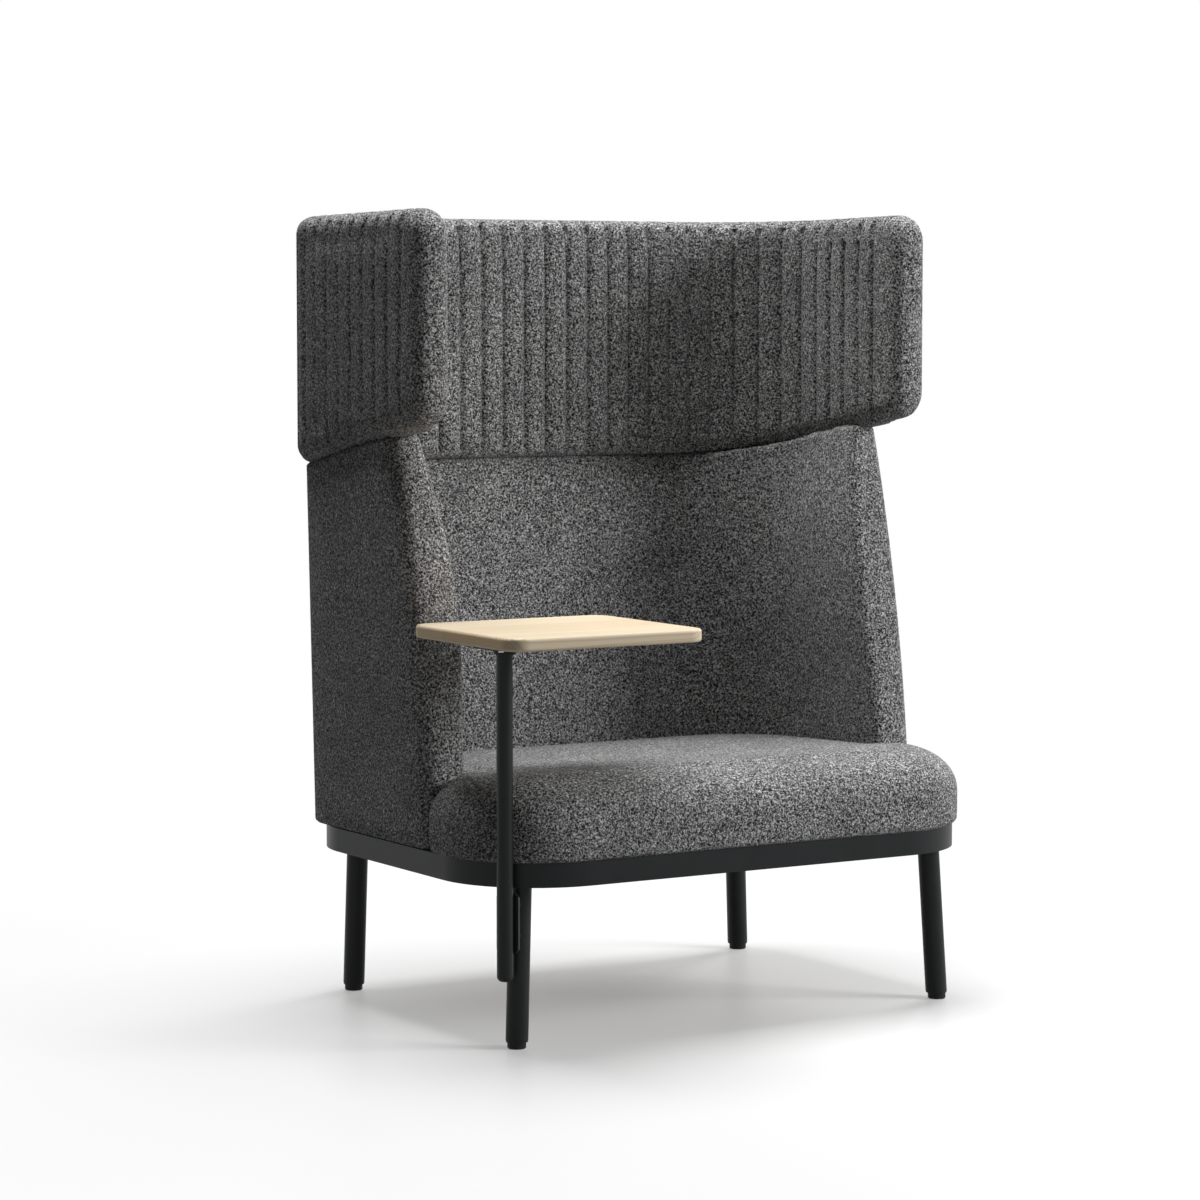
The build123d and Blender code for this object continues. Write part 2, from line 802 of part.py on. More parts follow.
with BuildPart() as seat_cover:
    with BuildLine(Plane.XY.offset(pad_underside)):
        FilletPolyline(
            (cushion_front_half, cushion_ear_rear),
            (cushion_front_half, cushion_front),
            (-cushion_front_half, cushion_front),
            (-cushion_front_half, cushion_ear_rear),
            radius=cushion_front_corner,
        )
    with BuildSketch(roll_plane):
        with BuildLine():
            foot_roll = EllipticalCenterArc(
                (-cushion_foot_roll, cushion_foot_height),
                cushion_foot_roll,
                cushion_foot_height,
                start_angle=270,
                arc_size=90,
            )
            crown_roll = EllipticalCenterArc(
                (-cushion_front_roll, cushion_wall_height),
                cushion_front_roll,
                cushion_crown_height,
                start_angle=0,
                arc_size=90,
            )
            Line(foot_roll @ 1, crown_roll @ 0)
            Polyline(
                crown_roll @ 1,
                (-cushion_front_roll - cut_margin, cushion_height),
                (-cushion_front_roll - cut_margin, 0),
                foot_roll @ 0,
            )
        make_face()
    sweep()
    bar_plan = u_block_plan(
        cushion_front_half - cushion_front_roll,
        cushion_ear_rear,
        roll_line,
        cushion_front_corner - cushion_front_roll,
    )
    extrude(bar_plan, amount=cushion_height)
    split(bisect_by=seat_slope, keep=Keep.BOTTOM)
    ear_rims = seat_cover.faces().sort_by(Axis.Y)[-1].edges().group_by(Axis.Z)[1:]
    fillet(ear_rims, cushion_ear_edge)
    add(seat_block())
    core_hollow = core_plan(pad_underside, cushion_core_inset)
    extrude(core_hollow, amount=cushion_core_height + soft_gap, mode=Mode.SUBTRACT)
finish("seat_cover", seat_cover)

# Foam core of the seat cushion, on the deck
with BuildPart() as seat_foam:
    extrude(core_plan(band_top, cushion_core_inset + soft_gap), amount=cushion_core_height)
finish("seat_foam", seat_foam)

# Table post: an upright tube, open at the top for the swivel and plugged below
post_axis = Location((post_x, post_y, 0))
with BuildPart() as table_post:
    with BuildSketch(Plane.XY.offset(post_bottom + post_dome)):
        with Locations(post_axis):
            Circle(post_diameter / 2)
            Circle(post_bore / 2, mode=Mode.SUBTRACT)
    extrude(amount=post_top - post_bottom - post_dome)
finish("table_post", table_post)

# Domed plug in the post's lower end
with BuildPart() as post_end_cap:
    with BuildSketch(Plane.XY.offset(post_bottom)):
        with Locations(post_axis):
            Circle(post_diameter / 2)
    extrude(amount=post_dome)
    fillet(post_end_cap.edges().group_by(Axis.Z)[0], post_dome - loose_fit)
    with BuildSketch(Plane.XY.offset(post_bottom + post_dome)):
        with Locations(post_axis):
            Circle(post_bore / 2 - bush_fit)
    extrude(amount=post_cap_plug)
finish("post_end_cap", post_end_cap)

# Bracket: a saddle plate on the post with two bosses that meet the leg
saddle_start = post_diameter / 2 - bracket_saddle
with BuildPart() as post_bracket:
    with BuildSketch(bracket_plane.offset(saddle_start)) as bracket_face:
        Rectangle(bracket_height, bracket_width)
        chamfer(bracket_face.vertices(), bracket_chamfer)
    extrude(amount=bracket_thickness)
    with BuildSketch(bracket_plane.offset(saddle_start)):
        with GridLocations(bracket_screw_spacing, 0, 2, 1):
            Circle(bracket_boss / 2)
    extrude(amount=bracket_run.length - saddle_start)
    with BuildSketch(leg_plane("front", sides["left"])):
        Circle(leg_diameter / 2 + bush_fit)
    extrude(amount=band_top, mode=Mode.SUBTRACT)
    with BuildSketch(Plane.XY.offset(post_bottom)):
        with Locations(post_axis):
            Circle(post_diameter / 2 + bush_fit)
    extrude(amount=post_top - post_bottom, mode=Mode.SUBTRACT)
    with BuildSketch(bracket_plane):
        with GridLocations(bracket_screw_spacing, 0, 2, 1):
            Circle(bracket_screw_diameter / 2 + loose_fit)
    extrude(amount=bracket_run.length, mode=Mode.SUBTRACT)
finish("post_bracket", post_bracket)

# Bracket screws: from behind the leg, through it, into the bosses
upper_head = leg_point(
    "front",
    sides["left"],
    bracket_middle + (bracket_screw_spacing + bracket_screw_head) / 2,
)
upper_run = Vector(upper_head.X - post_x, upper_head.Y - post_y, 0)
screw_head_seat = upper_run.length + leg_diameter / 2
with BuildPart() as bracket_screws:
    with BuildSketch(bracket_plane.offset(screw_head_seat)):
        with GridLocations(bracket_screw_spacing, 0, 2, 1):
            Circle(bracket_screw_head / 2)
    extrude(amount=bracket_screw_head_height)
    with BuildSketch(bracket_plane.offset(screw_head_seat)):
        with GridLocations(bracket_screw_spacing, 0, 2, 1):
            Circle(bracket_screw_diameter / 2)
    extrude(amount=-(leg_diameter + bracket_screw_bite))
finish("bracket_screws", bracket_screws)

# Upper bush: a flanged sleeve in the post's mouth
with BuildPart() as bush_upper:
    with BuildSketch(Plane.XY.offset(post_top)):
        with Locations(post_axis):
            Circle(collar_diameter / 2)
            Circle(spindle_diameter / 2 + bush_fit, mode=Mode.SUBTRACT)
    extrude(amount=bush_flange)
    with BuildSketch(Plane.XY.offset(post_top)):
        with Locations(post_axis):
            Circle(post_bore / 2 - bush_fit)
            Circle(spindle_diameter / 2 + bush_fit, mode=Mode.SUBTRACT)
    extrude(amount=-bush_length)
finish("bush_upper", bush_upper)

# Lower bush: a plain sleeve round the spindle's tail
spindle_tail = collar_underside - spindle_length
with BuildPart() as bush_lower:
    with BuildSketch(Plane.XY.offset(spindle_tail)):
        with Locations(post_axis):
            Circle(post_bore / 2 - bush_fit)
            Circle(spindle_diameter / 2 + bush_fit, mode=Mode.SUBTRACT)
    extrude(amount=bush_length)
finish("bush_lower", bush_lower)

# Thrust washer between the upper bush and the spindle's collar
with BuildPart() as thrust_washer:
    with BuildSketch(Plane.XY.offset(post_top + bush_flange)):
        with Locations(post_axis):
            Circle(collar_diameter / 2)
            Circle(spindle_diameter / 2 + loose_fit, mode=Mode.SUBTRACT)
    extrude(amount=washer_thickness)
finish("thrust_washer", thrust_washer)

# Swivel spindle: a collar under the mounting plate and a shaft down the post
with BuildPart() as swivel_spindle:
    with BuildSketch(Plane.XY.offset(collar_underside)):
        with Locations(post_axis):
            Circle(collar_diameter / 2)
    extrude(amount=collar_height)
    with BuildSketch(Plane.XY.offset(collar_underside)):
        with Locations(post_axis):
            Circle(spindle_diameter / 2)
    extrude(amount=-spindle_length)
finish("swivel_spindle", swivel_spindle)

# Mounting plate: welded on the spindle, screwed under the table top
plate_middle = Location((post_x - plate_lead + plate_length / 2, post_y, 0))
screw_grid = (plate_length - 2 * plate_screw_inset, plate_width - 2 * plate_screw_inset)
with BuildPart() as table_plate:
    with BuildSketch(Plane.XY.offset(plate_underside)):
        with Locations(plate_middle):
            RectangleRounded(plate_length, plate_width, plate_corner)
            with GridLocations(*screw_grid, 2, 2):
                Circle(plate_screw_diameter / 2 + loose_fit, mode=Mode.SUBTRACT)
    extrude(amount=plate_thickness)
finish("table_plate", table_plate)

# Table top: solid wood with round corners and eased edges, drilled for the plate's screws
with BuildPart() as table_top:
    with BuildSketch(Plane.XY.offset(table_underside)):
        with Locations(table_middle):
            RectangleRounded(table_width, table_depth, table_corner)
    extrude(amount=table_thickness)
    fillet(table_top.edges().group_by(Axis.Z)[0], table_edge)
    fillet(table_top.edges().group_by(Axis.Z)[-1], table_edge)
    with BuildSketch(Plane.XY.offset(table_underside)):
        with Locations(plate_middle):
            with GridLocations(*screw_grid, 2, 2):
                Circle(plate_screw_diameter / 2 + loose_fit)
    extrude(amount=plate_screw_bite + loose_fit, mode=Mode.SUBTRACT)
finish("table_top", table_top)

# Table screws: up through the plate into the wood
with BuildPart() as table_screws:
    with BuildSketch(Plane.XY.offset(plate_underside)):
        with Locations(plate_middle):
            with GridLocations(*screw_grid, 2, 2):
                Circle(plate_screw_head / 2)
    extrude(amount=-plate_screw_head_height)
    with BuildSketch(Plane.XY.offset(plate_underside)):
        with Locations(plate_middle):
            with GridLocations(*screw_grid, 2, 2):
                Circle(plate_screw_diameter / 2)
    extrude(amount=plate_thickness + plate_screw_bite)
finish("table_screws", table_screws)
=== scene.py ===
# %% [markdown]
# A high-back lounge seat with a small wooden table that swivels on a post.
# The CAD model gives every size and place. This lesson dresses it: the metal, wood and plastic
# pieces keep their CAD shape and get finishes, and the three upholstered pads are remade as
# stuffed cloth, the head wrap with its sewn channels.

# %% Load the CAD frame
import json
from math import cos, pi, radians, sin

import bmesh
import bpy
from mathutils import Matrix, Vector
from mathutils.bvhtree import BVHTree


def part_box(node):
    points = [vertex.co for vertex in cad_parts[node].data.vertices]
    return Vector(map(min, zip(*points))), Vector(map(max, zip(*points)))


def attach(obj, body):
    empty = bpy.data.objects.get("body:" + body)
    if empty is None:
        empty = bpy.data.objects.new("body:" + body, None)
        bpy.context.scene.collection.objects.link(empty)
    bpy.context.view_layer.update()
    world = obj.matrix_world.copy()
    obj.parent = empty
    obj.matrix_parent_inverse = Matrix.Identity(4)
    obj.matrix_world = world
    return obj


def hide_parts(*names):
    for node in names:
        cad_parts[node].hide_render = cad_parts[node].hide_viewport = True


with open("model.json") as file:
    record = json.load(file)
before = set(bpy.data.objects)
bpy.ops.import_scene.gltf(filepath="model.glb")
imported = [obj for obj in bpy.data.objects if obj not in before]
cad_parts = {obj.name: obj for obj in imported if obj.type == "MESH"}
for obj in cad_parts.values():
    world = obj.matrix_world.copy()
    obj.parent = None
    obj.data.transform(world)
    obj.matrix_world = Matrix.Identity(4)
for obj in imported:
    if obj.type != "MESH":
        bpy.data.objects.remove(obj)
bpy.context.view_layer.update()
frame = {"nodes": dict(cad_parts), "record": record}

# %% [markdown]
# The camera stands to the left of the front, a little above the middle of the seat, far away with
# a long lens. Its place was found by matching the feet, the base band, the table and the wings
# with the photograph, so everything else can be compared with it.

# %% Camera
camera_place = (-3.2214, -5.1242, 1.1304)
camera_heading = radians(-31.45)
camera_tilt = radians(90 - 4.52)
camera_lens = 111.87

camera_data = bpy.data.cameras.new("camera")
camera_data.lens = camera_lens
camera_data.sensor_width = 36.0
camera_data.clip_end = 100.0
camera = bpy.data.objects.new("camera", camera_data)
camera.location = camera_place
camera.rotation_euler = (camera_tilt, 0.0, camera_heading)
bpy.context.collection.objects.link(camera)
bpy.context.scene.camera = camera
print("camera", camera_place, "lens", camera_lens)

# %% [markdown]
# Every finish is a small tree of nodes. A few helpers keep the cells below short: one starts a
# finish with its shader, one adds a node and wires it in the same line, and the others add the
# nodes that are used most. Patterns sit on the piece's own coordinates in metres, so that a curl or
# a year ring has its real size and stays on the piece when the piece moves.

# %% Helpers for finishes
def add_node(tree, kind, inputs=None, **settings):
    """Add a node. inputs maps a socket to a value or to the output that feeds it."""
    node = tree.nodes.new(kind)
    for name, value in settings.items():
        setattr(node, name, value)
    for key, value in (inputs or {}).items():
        if isinstance(value, bpy.types.NodeSocket):
            tree.links.new(value, node.inputs[key])
        else:
            node.inputs[key].default_value = value
    return node


def new_finish(name, roughness, specular):
    """A material with one main shader; returns the material, its tree and the shader."""
    finish = bpy.data.materials.new(name)
    finish.use_nodes = True
    tree = finish.node_tree
    tree.nodes.clear()
    shader = add_node(tree, "ShaderNodeBsdfPrincipled", {"Roughness": roughness})
    shader.inputs["Specular IOR Level"].default_value = specular
    add_node(tree, "ShaderNodeOutputMaterial", {"Surface": shader.outputs[0]})
    return finish, tree, shader


def own_place(tree):
    """Output of the place on the piece, in metres."""
    return add_node(tree, "ShaderNodeTexCoord").outputs["Object"]


def noise(tree, place, scale, detail):
    """A noise node; scale is the number of lumps to a metre."""
    return add_node(tree, "ShaderNodeTexNoise", {"Vector": place, "Scale": scale, "Detail": detail})


def reckon(tree, operation, first, second=0.0):
    """Output of a Math node on two values or outputs."""
    return add_node(tree, "ShaderNodeMath", {0: first, 1: second}, operation=operation).outputs[0]


def ramp(tree, factor, *stops):
    """Colour output of a ramp; each stop is (position, grey or (r, g, b))."""
    node = add_node(tree, "ShaderNodeValToRGB", {0: factor})
    elements = node.color_ramp.elements
    while len(elements) < len(stops):
        elements.new(1.0)
    for element, (position, colour) in zip(elements, stops):
        element.position = position
        red, green, blue = colour if isinstance(colour, tuple) else (colour,) * 3
        element.color = (red, green, blue, 1.0)
    return node.outputs[0]


def multiply(tree, first, second):
    """Colour output of a Mix node that multiplies two colours."""
    inputs = {0: 1.0, 6: first, 7: second}
    node = add_node(tree, "ShaderNodeMix", inputs, data_type="RGBA", blend_type="MULTIPLY")
    return node.outputs[2]


def raise_surface(tree, shader, height, strength, distance):
    """Let a height bend the shader's normal."""
    inputs = {"Height": height, "Strength": strength, "Distance": distance}
    bump = add_node(tree, "ShaderNodeBump", inputs)
    tree.links.new(bump.outputs[0], shader.inputs["Normal"])

# %% [markdown]
# The cover is a looped yarn cloth in charcoal. Close up it is a field of small curls about 3 mm
# across, light where a curl faces the lamp and nearly black between curls. A noise that is bent by
# a second noise gives the worm-like curls: its height makes the bump, and it makes the colour too,
# which paints that light on the curl tops and that shade between curls. A finer noise adds the
# fibres, a cell pattern makes some yarns lighter, and a broad one keeps large faces from looking
# printed. Real loops of yarn would need millions of faces for the same look.

# %% Charcoal looped cloth
curl_size = 0.0034
curl_bend = 2.2 * curl_size
curl_relief = 1.1 * curl_size
fibre_share = 0.35
patch_scale = 8.0

boucle, tree, shader = new_finish("charcoal_boucle", 0.95, 0.15)
place = own_place(tree)
shake = noise(tree, place, 0.8 / curl_size, 1.0).outputs["Color"]
shift = add_node(tree, "ShaderNodeVectorMath", {0: shake, 1: (0.5, 0.5, 0.5)}, operation="SUBTRACT")
wander = add_node(
    tree, "ShaderNodeVectorMath", {0: shift.outputs[0], "Scale": curl_bend}, operation="SCALE"
)
bent = add_node(tree, "ShaderNodeVectorMath", {0: place, 1: wander.outputs[0]}, operation="ADD")
curly = bent.outputs[0]
curls = noise(tree, curly, 1.25 / curl_size, 1.5).outputs["Fac"]
fibres = noise(tree, curly, 5.0 / curl_size, 2.0).outputs["Fac"]
yarns = add_node(tree, "ShaderNodeTexVoronoi", {"Vector": curly, "Scale": 0.7 / curl_size})
yarn_tone = add_node(tree, "ShaderNodeSeparateColor", {0: yarns.outputs["Color"]}).outputs[0]
patches = noise(tree, place, patch_scale, 4.0).outputs["Fac"]
fine = reckon(tree, "MULTIPLY", reckon(tree, "SUBTRACT", fibres, 0.5), fibre_share)
height = reckon(tree, "ADD", curls, fine)
# painted light on the curl tops and painted shade between curls, taken from the curl height
painted_curl_light_and_shade = ramp(tree, height, (0.36, 0.006), (0.46, 0.08), (0.54, 0.42), (0.63, 1.0))
yarn_shade = ramp(tree, yarn_tone, (0.0, 0.72), (1.0, 1.0))
patch_shade = ramp(tree, patches, (0.3, 0.8), (0.7, 1.0))
cloth_colour = multiply(tree, multiply(tree, painted_curl_light_and_shade, yarn_shade), patch_shade)
tree.links.new(cloth_colour, shader.inputs["Base Color"])
raise_surface(tree, shader, height, 1.0, curl_relief)
shader.inputs["Sheen Weight"].default_value = 0.15
shader.inputs["Sheen Roughness"].default_value = 0.5
print("cloth curls", curl_size * 1000, "mm")

# %% [markdown]
# The base, legs, post and bracket are steel with a satin black powder coat. Such paint has a very
# fine orange-peel skin, so its highlight is broad and slightly broken. A fine noise drives a faint
# bump, and a broad one a small change of colour and gloss. The glides and bushes are moulded
# plastic: the same tree with a duller, grainier skin.

# %% Black powder coat and black plastic
wear_scale = 14.0
wear_darker, wear_lighter = 0.85, 1.25
gloss_change = 0.06
grain_relief = 0.0004


def black_finish(name, colour, roughness, specular, grain_scale, grain_strength):
    """Black coat or moulding with a fine grain."""
    finish, tree, shader = new_finish(name, roughness, specular)
    place = own_place(tree)
    grain = noise(tree, place, grain_scale, 2.0).outputs["Fac"]
    wear = noise(tree, place, wear_scale, 4.0).outputs["Fac"]
    darker = tuple(wear_darker * channel for channel in colour)
    lighter = tuple(wear_lighter * channel for channel in colour)
    shade = ramp(tree, wear, (0.3, darker), (0.7, lighter))
    tree.links.new(shade, shader.inputs["Base Color"])
    glossy, dull = roughness - gloss_change, roughness + gloss_change
    gloss = add_node(tree, "ShaderNodeMapRange", {"Value": wear, 3: glossy, 4: dull})
    tree.links.new(gloss.outputs[0], shader.inputs["Roughness"])
    raise_surface(tree, shader, grain, grain_strength, grain_relief)
    return finish


black_coat = black_finish("black_powder_coat", (0.0105, 0.0118, 0.0125), 0.42, 0.16, 900.0, 0.25)
black_plastic = black_finish("black_plastic", (0.010, 0.010, 0.0105), 0.55, 0.2, 1600.0, 0.4)
print("finishes", black_coat.name, black_plastic.name)

# %% [markdown]
# The table top is glued from three pale staves. The grain runs from left to right, so the left edge
# shows end grain with year rings, and each stave has its own ring centre. A wave pattern would draw
# the same stripes on every face, so the rings are true circles round a line along X: they are worked
# out from Y and Z alone and shaken by a long noise. A chance number for each stave moves the circle's
# centre to the side and down.

# %% Year rings
table_low, table_high = (Vector(corner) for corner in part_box("table_top"))
stave_width = (table_high.y - table_low.y) / 3
ring_pitch = 0.0045
ring_sway = 0.022
centre_drop, centre_spread = 0.012, 0.03


def year_rings(tree, place):
    """How far through its year each place is, from 0 to 1, and the chance number of its stave."""
    axes = add_node(tree, "ShaderNodeSeparateXYZ", {0: place})
    across = reckon(tree, "DIVIDE", reckon(tree, "SUBTRACT", axes.outputs[1], table_low.y), stave_width)
    stave = reckon(tree, "FLOOR", across)
    dice = add_node(tree, "ShaderNodeTexWhiteNoise", {"W": stave}, noise_dimensions="1D")
    chance = dice.outputs["Value"]
    from_middle = reckon(tree, "SUBTRACT", reckon(tree, "FRACT", across), 0.5)
    side = reckon(tree, "MULTIPLY", from_middle, stave_width)
    centre_side = reckon(tree, "MULTIPLY", reckon(tree, "SUBTRACT", chance, 0.5), stave_width)
    flat = reckon(tree, "SUBTRACT", side, centre_side)
    drop = reckon(tree, "ADD", reckon(tree, "MULTIPLY", chance, centre_spread), centre_drop)
    level = reckon(tree, "ADD", reckon(tree, "SUBTRACT", axes.outputs[2], table_low.z), drop)
    flat_square = reckon(tree, "MULTIPLY", flat, flat)
    level_square = reckon(tree, "MULTIPLY", level, level)
    distance = reckon(tree, "SQRT", reckon(tree, "ADD", flat_square, level_square))
    stretched = add_node(tree, "ShaderNodeMapping", {"Vector": place, "Scale": (0.06, 1.0, 1.0)})
    sway = noise(tree, stretched.outputs[0], 16.0, 3.0).outputs["Fac"]
    radius = reckon(tree, "ADD", distance, reckon(tree, "MULTIPLY", sway, ring_sway))
    year = reckon(tree, "FRACT", reckon(tree, "DIVIDE", radius, ring_pitch))
    return year, chance


print("stave width", round(stave_width * 1000), "mm")

# %% [markdown]
# The rings and a fine noise drawn out along the grain, for the pores, give one value that runs from
# pale to dark wood. Each stave is toned a little by its chance number, and the faces that look along
# X are browner, because end grain drinks the lacquer. The same tree in darker tones is the plywood of
# the boards, which hardly shows.

# %% Pale wood and plywood
pore_scale = 700.0
pore_share = 0.3
grain_height = 0.0006
white = (1.0, 1.0, 1.0)
stave_tone = (0.95, 0.91, 0.86)
end_tone = (0.95, 0.84, 0.68)
end_sharpness = 6.0


def stave_wood(name, pale, dark, ring_share):
    """Edge-glued wood with rings round lines along X, one centre to each stave."""
    finish, tree, shader = new_finish(name, 0.5, 0.3)
    place = own_place(tree)
    year, chance = year_rings(tree, place)
    drawn = add_node(tree, "ShaderNodeMapping", {"Vector": place, "Scale": (0.03, 1.0, 1.0)})
    pores = noise(tree, drawn.outputs[0], pore_scale, 2.0).outputs["Fac"]
    rings = reckon(tree, "MULTIPLY", year, ring_share)
    grain = reckon(tree, "ADD", rings, reckon(tree, "MULTIPLY", pores, pore_share))
    colour = ramp(tree, grain, (0.1, pale), (0.55, pale), (1.0, dark))
    tone = ramp(tree, chance, (0.0, stave_tone), (1.0, white))
    facing = add_node(tree, "ShaderNodeTexCoord").outputs["Normal"]
    along_x = add_node(tree, "ShaderNodeSeparateXYZ", {0: facing}).outputs[0]
    end_face = reckon(tree, "POWER", reckon(tree, "ABSOLUTE", along_x), end_sharpness)
    end_shade = ramp(tree, end_face, (0.0, white), (1.0, end_tone))
    wood_colour = multiply(tree, multiply(tree, colour, tone), end_shade)
    tree.links.new(wood_colour, shader.inputs["Base Color"])
    raise_surface(tree, shader, grain, 0.12, grain_height)
    return finish


pale_wood = stave_wood("pale_wood", (0.76, 0.65, 0.485), (0.61, 0.465, 0.295), 0.75)
plywood = stave_wood("plywood", (0.60, 0.45, 0.28), (0.42, 0.29, 0.16), 0.6)
print("finishes", pale_wood.name, plywood.name)

# %% [markdown]
# Two finishes are only seen from below or inside: zinc on the screws and the raw foam of the seat.
# One cell pattern is enough for each. On zinc the cells are the flat crystals of the plating, each
# with its own tone, and on foam they are the open pores, with painted shade that darkens each pore
# towards its middle.

# %% Zinc and foam
zinc, tree, shader = new_finish("zinc_plate", 0.32, 0.5)
spangle = add_node(tree, "ShaderNodeTexVoronoi", {"Vector": own_place(tree), "Scale": 400.0})
spangle_tone = add_node(tree, "ShaderNodeSeparateColor", {0: spangle.outputs["Color"]}).outputs[0]
zinc_colour = ramp(tree, spangle_tone, (0.0, (0.48, 0.49, 0.5)), (1.0, (0.6, 0.61, 0.62)))
tree.links.new(zinc_colour, shader.inputs["Base Color"])
shader.inputs["Metallic"].default_value = 1.0

foam, tree, shader = new_finish("seat_foam", 0.9, 0.2)
pores = add_node(tree, "ShaderNodeTexVoronoi", {"Vector": own_place(tree), "Scale": 700.0})
# painted shade: each foam pore is darker towards its middle
foam_colour_with_pore_shade = ramp(tree, pores.outputs["Distance"], (0.0, (0.5, 0.48, 0.38)), (0.7, (0.8, 0.77, 0.64)))
tree.links.new(foam_colour_with_pore_shade, shader.inputs["Base Color"])
print("finishes", zinc.name, foam.name)

# %% [markdown]
# Each CAD piece takes its finish from its slot in the record, so no list of pieces is needed here.

# %% Finish the CAD pieces
finishes = {
    "boucle": boucle,
    "black_steel": black_coat,
    "black_plastic": black_plastic,
    "pale_wood": pale_wood,
    "plywood": plywood,
    "steel": zinc,
    "foam": foam,
}
for subpart in frame["record"]["subparts"]:
    node = frame["nodes"][subpart["node"]]
    for slot in node.material_slots:
        slot.material = finishes[subpart["material_slot"]]

# %% [markdown]
# A pad is cloth over foam on a board. The CAD solids give its form, but with crisp edges and a slot
# for the board. The CAD pieces themselves are never changed, so the pad and what fills it are copied
# into one mesh, and every later step works on that copy.

# %% Copies of CAD pieces
def copy_of(name, *nodes):
    """One mesh object made from copies of CAD pieces."""
    form = bmesh.new()
    for node in nodes:
        form.from_mesh(frame["nodes"][node].data)
    bmesh.ops.remove_doubles(form, verts=form.verts, dist=0.00001)
    mesh = bpy.data.meshes.new(name)
    form.to_mesh(mesh)
    form.free()
    piece = bpy.data.objects.new(name, mesh)
    bpy.context.collection.objects.link(piece)
    return piece


def apply_modifiers(piece):
    """Make the shown shape the piece's own mesh."""
    graph = bpy.context.evaluated_depsgraph_get()
    shown = bpy.data.meshes.new_from_object(piece.evaluated_get(graph))
    piece.modifiers.clear()
    piece.data = shown


print("pads can be copied from", len(frame["nodes"]), "CAD pieces")

# %% [markdown]
# A voxel skin over the copy closes the board's slot and rounds the edges, and its even mesh suits the
# cloth that follows. Shells inside the skin are taken out. Then the flats go back to the CAD surface,
# drawn in by a little slack to leave the cloth room to swell. Where the pad rests on something it is
# pressed out a little instead, as the cloth is folded under there.

# %% Skin of a pad
voxel = 0.010
skin_smoothings = 2
flat_match = 0.8
slack = 0.002
press = 0.0015


def outer_shell(form):
    """Points of the shell that holds the highest point."""
    highest = max(form.verts, key=lambda point: point.co.z)
    shell, rim = {highest}, [highest]
    while rim:
        point = rim.pop()
        for edge in point.link_edges:
            other = edge.other_vert(point)
            if other not in shell:
                shell.add(other)
                rim.append(other)
    return shell


def skin(piece, rests):
    """Turn a copied pad into its voxel skin; rests tells which points lie on something.

    Returns the CAD surface and the numbers of the resting points.
    """
    form = bmesh.new()
    form.from_mesh(piece.data)
    solid = BVHTree.FromBMesh(form)
    remesh = piece.modifiers.new("skin", "REMESH")
    remesh.mode = "VOXEL"
    remesh.voxel_size = voxel
    apply_modifiers(piece)
    form.clear()
    form.from_mesh(piece.data)
    shell = outer_shell(form)
    buried = [point for point in form.verts if point not in shell]
    bmesh.ops.delete(form, geom=buried, context="VERTS")
    for _ in range(skin_smoothings):
        bmesh.ops.smooth_vert(
            form, verts=form.verts, factor=0.5, use_axis_x=True, use_axis_y=True, use_axis_z=True
        )
    form.normal_update()
    held = []
    for index, point in enumerate(form.verts):
        resting = rests(point.co, point.normal)
        if resting:
            held.append(index)
        surface, facing, _, _ = solid.find_nearest(point.co)
        if facing.dot(point.normal) > flat_match:
            point.co = surface + facing * (press if resting else -slack)
    form.to_mesh(piece.data)
    form.free()
    return solid, held


print("voxel", voxel * 1000, "mm")

# %% [markdown]
# The cloth is blown up by a short simulation, held where it rests. Pulling every face out by one
# distance would be quicker, but pressure rounds a pad as stuffing does, most in the middle of a wide
# face. A cap keeps every point near the CAD surface, so that the pad keeps its size.

# %% Blow up the cloth
cloth_pressure = 4.0
cloth_steps = 20


def blow_up(piece, swell, held):
    """Swell the cloth by simulation; the held points stay, and swell is the longest move."""
    start = [point.co.copy() for point in piece.data.vertices]
    pins = piece.vertex_groups.new(name="held")
    pins.add(held, 1.0, "REPLACE")
    cloth = piece.modifiers.new("cloth", "CLOTH")
    cloth.settings.quality = 4
    cloth.settings.use_pressure = True
    cloth.settings.uniform_pressure_force = cloth_pressure
    cloth.settings.vertex_group_mass = pins.name
    cloth.settings.effector_weights.gravity = 0.0
    for step in range(1, cloth_steps + 1):
        bpy.context.scene.frame_set(step)
    apply_modifiers(piece)
    bpy.context.scene.frame_set(1)
    longest = 0.0
    for point, spot in zip(piece.data.vertices, start):
        move = point.co - spot
        longest = max(longest, move.length)
        if move.length > swell:
            point.co = spot + move * (swell / move.length)
    piece.vertex_groups.clear()
    print(piece.name, "points", len(start), "held", len(held))
    print("longest move before the cap", round(longest * 1000, 1), "mm")


print("cloth pressure", cloth_pressure, "for", cloth_steps, "steps")

# %% [markdown]
# One subdivision makes the cloth smooth. Cloth under pressure pulls rolled edges in, but a real pad is
# packed until its edges are full, so points left inside the CAD surface are brought back out to it.
# Where a board reaches the pad's foot or top, the cloth is folded over the board's edge.

# %% Fill the edges and fold the cloth
edge_match = 0.5
fold = 0.004
fold_zone = 3 * fold


def points_and_normals(piece):
    """Each point of the piece with its normal, as it is before any point moves."""
    normals = [normal.vector.copy() for normal in piece.data.vertex_normals]
    return zip(piece.data.vertices, normals)


def fill_edges(piece, solid):
    """Subdivide the piece once and bring the points inside the CAD surface out to it."""
    rounding = piece.modifiers.new("rounding", "SUBSURF")
    rounding.levels = rounding.render_levels = 1
    apply_modifiers(piece)
    moved = 0
    for point, normal in points_and_normals(piece):
        surface, facing, _, _ = solid.find_nearest(point.co)
        depth = (surface - point.co).dot(facing)
        if depth > 0.0 and facing.dot(normal) > edge_match:
            point.co += facing * depth
            moved += 1
    piece.data.shade_smooth()
    print(piece.name, "points brought out", moved, "of", len(piece.data.vertices))


